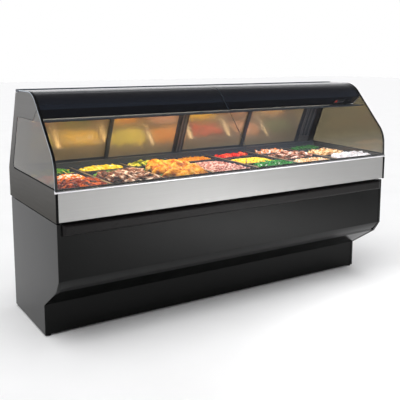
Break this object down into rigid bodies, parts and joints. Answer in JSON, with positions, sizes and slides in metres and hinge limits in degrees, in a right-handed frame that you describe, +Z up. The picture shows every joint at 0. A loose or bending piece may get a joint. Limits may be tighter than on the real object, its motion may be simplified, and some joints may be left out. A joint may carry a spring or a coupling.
{
  "type": "deli display case",
  "caption": "Long food display case with lift-up curved glass, sliding mirrored rear doors, lift-out pans and a recessed pedestal base.",
  "frame": {"origin": "on the floor, below the middle of the case's bounding box", "axes": "+X along the counter to the customer's right, +Y from the customer's side to the server's side, +Z up"},
  "size_m": [2.438, 0.86, 1.4],
  "materials": {
    "base_black": "gloss black enamel",
    "satin_black": "satin black enamel",
    "rubber_black": "matte black rubber",
    "fascia_steel": "fine brushed stainless steel",
    "end_steel": "dark brushed stainless steel",
    "end_glass": "tinted mirror glass",
    "front_glass": "clear tempered glass",
    "canopy_black": "gloss black enamel",
    "blue_grey": "blue-grey powder coat",
    "door_mirror": "mirrored door glass",
    "grid_steel": "brushed stainless steel",
    "heater_metal": "plain aluminium",
    "lamp_white": "warm white lamp tube",
    "display_black": "gloss black",
    "knob_black": "matte black",
    "pan_black": "black polycarbonate",
    "food": "moist cooked food, many colours"
  },
  "bodies": {
    "case": {"base_end_left": "base_black", "base_end_right": "base_black", "base_front_panel": "base_black", "base_shelf": "satin_black", "base_rear_rail": "satin_black", "case_body": "satin_black", "rear_post_left": "satin_black", "rear_post_right": "satin_black", "rear_mullion": "satin_black", "foot_front_left": "rubber_black", "foot_front_right": "rubber_black", "foot_rear_left": "rubber_black", "foot_rear_right": "rubber_black", "bumper_rail": "rubber_black", "bumper_cap_left": "rubber_black", "bumper_cap_right": "rubber_black", "end_seal_left": "rubber_black", "end_seal_right": "rubber_black", "cable_gland": "rubber_black", "front_fascia": "fascia_steel", "front_trim": "fascia_steel", "end_frame_left": "end_steel", "end_frame_right": "end_steel", "end_glass_left": "end_glass", "end_glass_right": "end_glass", "canopy_housing": "canopy_black", "light_shield": "blue_grey", "hinge_rail": "blue_grey", "door_header": "blue_grey", "door_sill": "blue_grey", "pan_grid": "grid_steel", "heater_plate": "heater_metal", "lamp_tube": "lamp_white", "temperature_display": "display_black"},
    "front_glass_left": {"front_glass_left": "front_glass"},
    "front_glass_right": {"front_glass_right": "front_glass"},
    "door_1": {"door_frame_1": "blue_grey", "door_mirror_1": "door_mirror"},
    "door_2": {"door_frame_2": "blue_grey", "door_mirror_2": "door_mirror"},
    "door_3": {"door_frame_3": "blue_grey", "door_mirror_3": "door_mirror"},
    "door_4": {"door_frame_4": "blue_grey", "door_mirror_4": "door_mirror"},
    "pan_front_1": {"pan_front_1": "pan_black"},
    "pan_front_2": {"pan_front_2": "pan_black"},
    "pan_front_3": {"pan_front_3": "pan_black"},
    "pan_front_4": {"pan_front_4": "pan_black"},
    "pan_front_5": {"pan_front_5": "pan_black"},
    "pan_front_6": {"pan_front_6": "pan_black"},
    "pan_front_7": {"pan_front_7": "pan_black"},
    "pan_rear_1": {"pan_rear_1": "pan_black"},
    "pan_rear_2": {"pan_rear_2": "pan_black"},
    "pan_rear_3": {"pan_rear_3": "pan_black"},
    "pan_rear_4": {"pan_rear_4": "pan_black"},
    "pan_rear_5": {"pan_rear_5": "pan_black"},
    "pan_rear_6": {"pan_rear_6": "pan_black"},
    "pan_rear_7": {"pan_rear_7": "pan_black"},
    "thermostat_knob": {"thermostat_knob": "knob_black"},
    "power_switch": {"power_switch": "display_black"}
  },
  "joints": [
    {"name": "glass_left_lift", "type": "hinge", "parent": "case", "child": "front_glass_left", "pos_m": [-0.609, 0.15, 1.397], "axis": [-1, 0, 0], "range_deg": [0, 60]},
    {"name": "glass_right_lift", "type": "hinge", "parent": "case", "child": "front_glass_right", "pos_m": [0.609, 0.15, 1.397], "axis": [-1, 0, 0], "range_deg": [0, 60]},
    {"name": "door_1_slide", "type": "slide", "parent": "case", "child": "door_1", "axis": [1, 0, 0], "range_m": [0, 0.51]},
    {"name": "door_2_slide", "type": "slide", "parent": "case", "child": "door_2", "axis": [1, 0, 0], "range_m": [-0.535, 0]},
    {"name": "door_3_slide", "type": "slide", "parent": "case", "child": "door_3", "axis": [1, 0, 0], "range_m": [0, 0.525]},
    {"name": "door_4_slide", "type": "slide", "parent": "case", "child": "door_4", "axis": [1, 0, 0], "range_m": [-0.53, 0]},
    {"name": "pan_front_1_lift", "type": "slide", "parent": "case", "child": "pan_front_1", "axis": [0, 0, 1], "range_m": [0, 0.09]},
    {"name": "pan_front_2_lift", "type": "slide", "parent": "case", "child": "pan_front_2", "axis": [0, 0, 1], "range_m": [0, 0.09]},
    {"name": "pan_front_3_lift", "type": "slide", "parent": "case", "child": "pan_front_3", "axis": [0, 0, 1], "range_m": [0, 0.09]},
    {"name": "pan_front_4_lift", "type": "slide", "parent": "case", "child": "pan_front_4", "axis": [0, 0, 1], "range_m": [0, 0.09]},
    {"name": "pan_front_5_lift", "type": "slide", "parent": "case", "child": "pan_front_5", "axis": [0, 0, 1], "range_m": [0, 0.09]},
    {"name": "pan_front_6_lift", "type": "slide", "parent": "case", "child": "pan_front_6", "axis": [0, 0, 1], "range_m": [0, 0.09]},
    {"name": "pan_front_7_lift", "type": "slide", "parent": "case", "child": "pan_front_7", "axis": [0, 0, 1], "range_m": [0, 0.09]},
    {"name": "pan_rear_1_lift", "type": "slide", "parent": "case", "child": "pan_rear_1", "axis": [0, 0, 1], "range_m": [0, 0.09]},
    {"name": "pan_rear_2_lift", "type": "slide", "parent": "case", "child": "pan_rear_2", "axis": [0, 0, 1], "range_m": [0, 0.09]},
    {"name": "pan_rear_3_lift", "type": "slide", "parent": "case", "child": "pan_rear_3", "axis": [0, 0, 1], "range_m": [0, 0.09]},
    {"name": "pan_rear_4_lift", "type": "slide", "parent": "case", "child": "pan_rear_4", "axis": [0, 0, 1], "range_m": [0, 0.09]},
    {"name": "pan_rear_5_lift", "type": "slide", "parent": "case", "child": "pan_rear_5", "axis": [0, 0, 1], "range_m": [0, 0.09]},
    {"name": "pan_rear_6_lift", "type": "slide", "parent": "case", "child": "pan_rear_6", "axis": [0, 0, 1], "range_m": [0, 0.09]},
    {"name": "pan_rear_7_lift", "type": "slide", "parent": "case", "child": "pan_rear_7", "axis": [0, 0, 1], "range_m": [0, 0.09]},
    {"name": "thermostat_turn", "type": "hinge", "parent": "case", "child": "thermostat_knob", "pos_m": [1.148, 0.32911, 1.13474], "axis": [0, 0.915, 0.4035], "range_deg": [0, 270]},
    {"name": "power_switch_rock", "type": "hinge", "parent": "case", "child": "power_switch", "pos_m": [1.148, 0.36323, 1.06235], "axis": [1, 0, 0], "range_deg": [-8, 8]}
  ]
}
